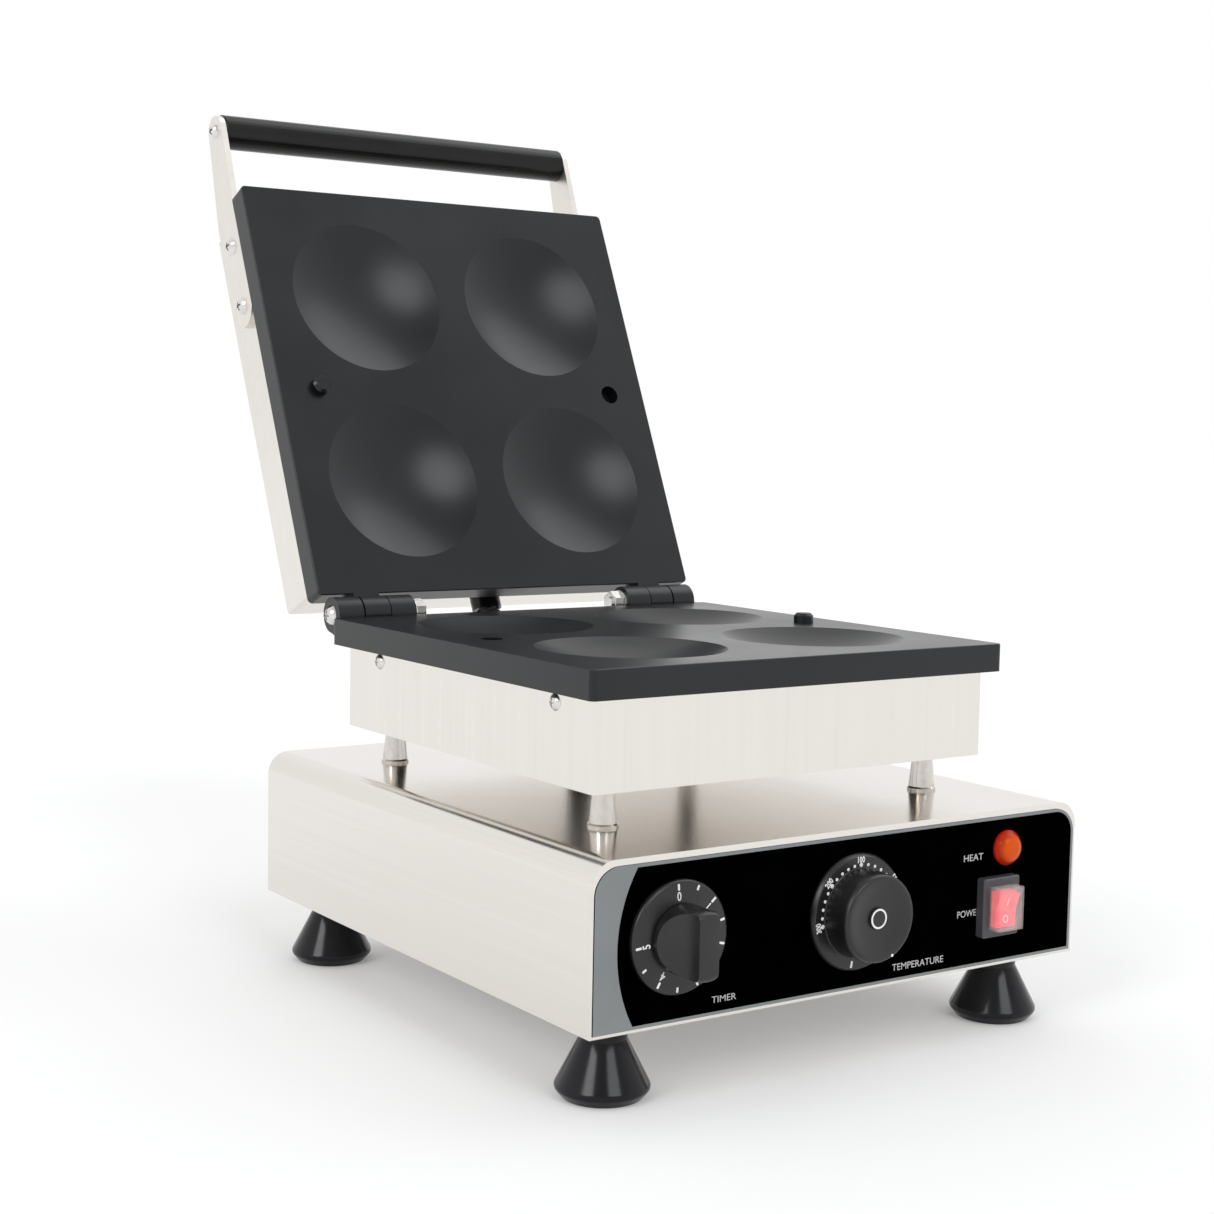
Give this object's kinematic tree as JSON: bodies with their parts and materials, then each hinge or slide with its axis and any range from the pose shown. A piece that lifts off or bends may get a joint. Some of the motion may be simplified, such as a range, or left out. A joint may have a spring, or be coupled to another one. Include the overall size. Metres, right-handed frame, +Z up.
{
  "type": "donut maker",
  "caption": "Counter-top electric donut maker with a hinged lid, round dishes in two coated plates, steel housing, timer, thermostat and rocker switch",
  "frame": {"origin": "on the counter, at the middle of the four feet", "axes": "+X to the right of someone facing the controls, +Y to the rear where the hinge is, +Z up"},
  "size_m": [0.3, 0.4975, 0.4886],
  "materials": {
    "brushed_steel": "fine brushed stainless sheet",
    "steel_fasteners": "bright plated fasteners",
    "plated_spacers": "bright plated spacers",
    "nonstick_plate": "dark non-stick coating on cast aluminium",
    "bare_aluminium": "satin aluminium bar",
    "black_feet": "glossy black feet",
    "printed_film": "black printed film, half gloss",
    "black_plastic": "satin black moulded plastic",
    "grey_plastic": "dark grey moulded plastic",
    "red_rocker": "glossy translucent red plastic",
    "clear_hood": "clear flexible plastic",
    "amber_lens": "amber translucent lens",
    "sheathed_element": "dull heat-stained steel sheath",
    "mineral_wool": "loose mineral wool",
    "sleeve": "black woven sleeve over the leads",
    "white_ceramic": "unglazed white ceramic",
    "lead_insulation": "high-temperature lead insulation"
  },
  "bodies": {
    "base": {"base_cover": "brushed_steel", "bottom_pan": "brushed_steel", "box_lower": "brushed_steel", "box_screws_lower": "steel_fasteners", "clamp_lower": "brushed_steel", "clamp_screws_lower": "steel_fasteners", "conduit": "sleeve", "control_film": "printed_film", "cord_gland": "black_plastic", "cord_gland_nut": "black_plastic", "dowel_lower": "steel_fasteners", "element_lower": "sheathed_element", "feet": "black_feet", "foot_nuts": "steel_fasteners", "foot_screws": "steel_fasteners", "front_panel": "brushed_steel", "gland_base": "black_plastic", "hinge_bolts": "steel_fasteners", "hinge_nuts": "steel_fasteners", "hinge_washers": "steel_fasteners", "lamp_body": "grey_plastic", "lamp_lens": "amber_lens", "lamp_nut": "black_plastic", "leads": "lead_insulation", "plate_lower": "nonstick_plate", "rear_panel": "brushed_steel", "sensor_bulb": "steel_fasteners", "standoff_nipples": "steel_fasteners", "standoff_nuts": "steel_fasteners", "standoffs": "plated_spacers", "switch_body": "grey_plastic", "switch_hood": "clear_hood", "terminal_block": "white_ceramic", "thermostat_body": "grey_plastic", "timer_body": "grey_plastic", "timer_dial": "black_plastic", "wool_lower": "mineral_wool"},
    "lid": {"plate_upper": "nonstick_plate", "dowel_upper": "steel_fasteners", "element_upper": "sheathed_element", "clamp_upper": "brushed_steel", "clamp_screws_upper": "steel_fasteners", "wool_upper": "mineral_wool", "box_upper": "brushed_steel", "box_screws_upper": "steel_fasteners", "arm_screws": "steel_fasteners", "arm_right": "bare_aluminium", "arm_left": "bare_aluminium", "grip": "black_plastic", "grip_rod": "steel_fasteners", "grip_screws": "steel_fasteners", "gland_lid": "black_plastic"},
    "thermostat": {"thermostat_knob": "black_plastic", "thermostat_shaft": "steel_fasteners"},
    "timer": {"timer_knob": "black_plastic", "timer_shaft": "steel_fasteners"},
    "rocker": {"switch_rocker": "red_rocker"}
  },
  "joints": [
    {"name": "lid_hinge", "type": "hinge", "parent": "base", "child": "lid", "pos_m": [0, 0.1407, 0.19525], "axis": [1, 0, 0], "range_deg": [0, 114.4], "deforming": ["conduit"]},
    {"name": "thermostat_turn", "type": "hinge", "parent": "base", "child": "thermostat", "pos_m": [0.0006, -0.17, 0.0764], "axis": [0, 1, 0], "range_deg": [-190, 100]},
    {"name": "timer_turn", "type": "hinge", "parent": "base", "child": "timer", "pos_m": [-0.1038, -0.17, 0.0777], "axis": [0, 1, 0], "range_deg": [0, 265]},
    {"name": "rocker_tilt", "type": "hinge", "parent": "base", "child": "rocker", "pos_m": [0.0938, -0.1674, 0.0682], "axis": [1, 0, 0], "range_deg": [-18, 0]}
  ]
}
